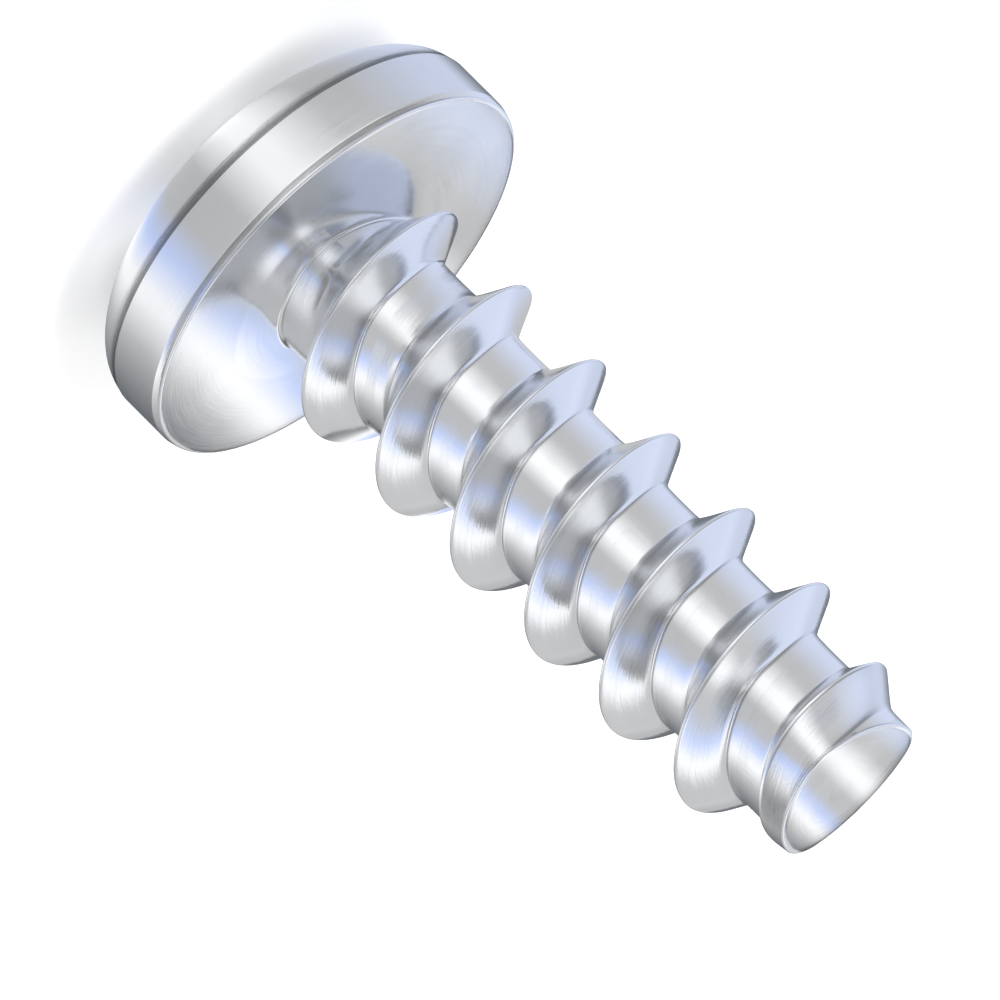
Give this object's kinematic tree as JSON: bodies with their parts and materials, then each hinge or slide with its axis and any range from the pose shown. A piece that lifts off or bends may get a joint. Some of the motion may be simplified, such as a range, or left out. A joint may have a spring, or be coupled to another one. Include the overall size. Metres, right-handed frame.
{
  "type": "thread rolling screw",
  "caption": "Pan head screw with a lobed star recess and a coarse rounded-triangle thread, which rolls its own thread in a plain hole.",
  "frame": {"origin": "centre of the bearing face under the head, on the screw's axis", "axes": "+Z along the axis from the head to the tip; -Y through one lobe of the three lobed shank; the head's domed side, with the recess, faces -Z and is what the screw stands on"},
  "size_m": [0.0078, 0.0078, 0.0153],
  "materials": {
    "zinc_plated_steel": "bright clear zinc plate with a faint blue cast"
  },
  "bodies": {
    "root": {"screw": "zinc_plated_steel"}
  },
  "joints": []
}
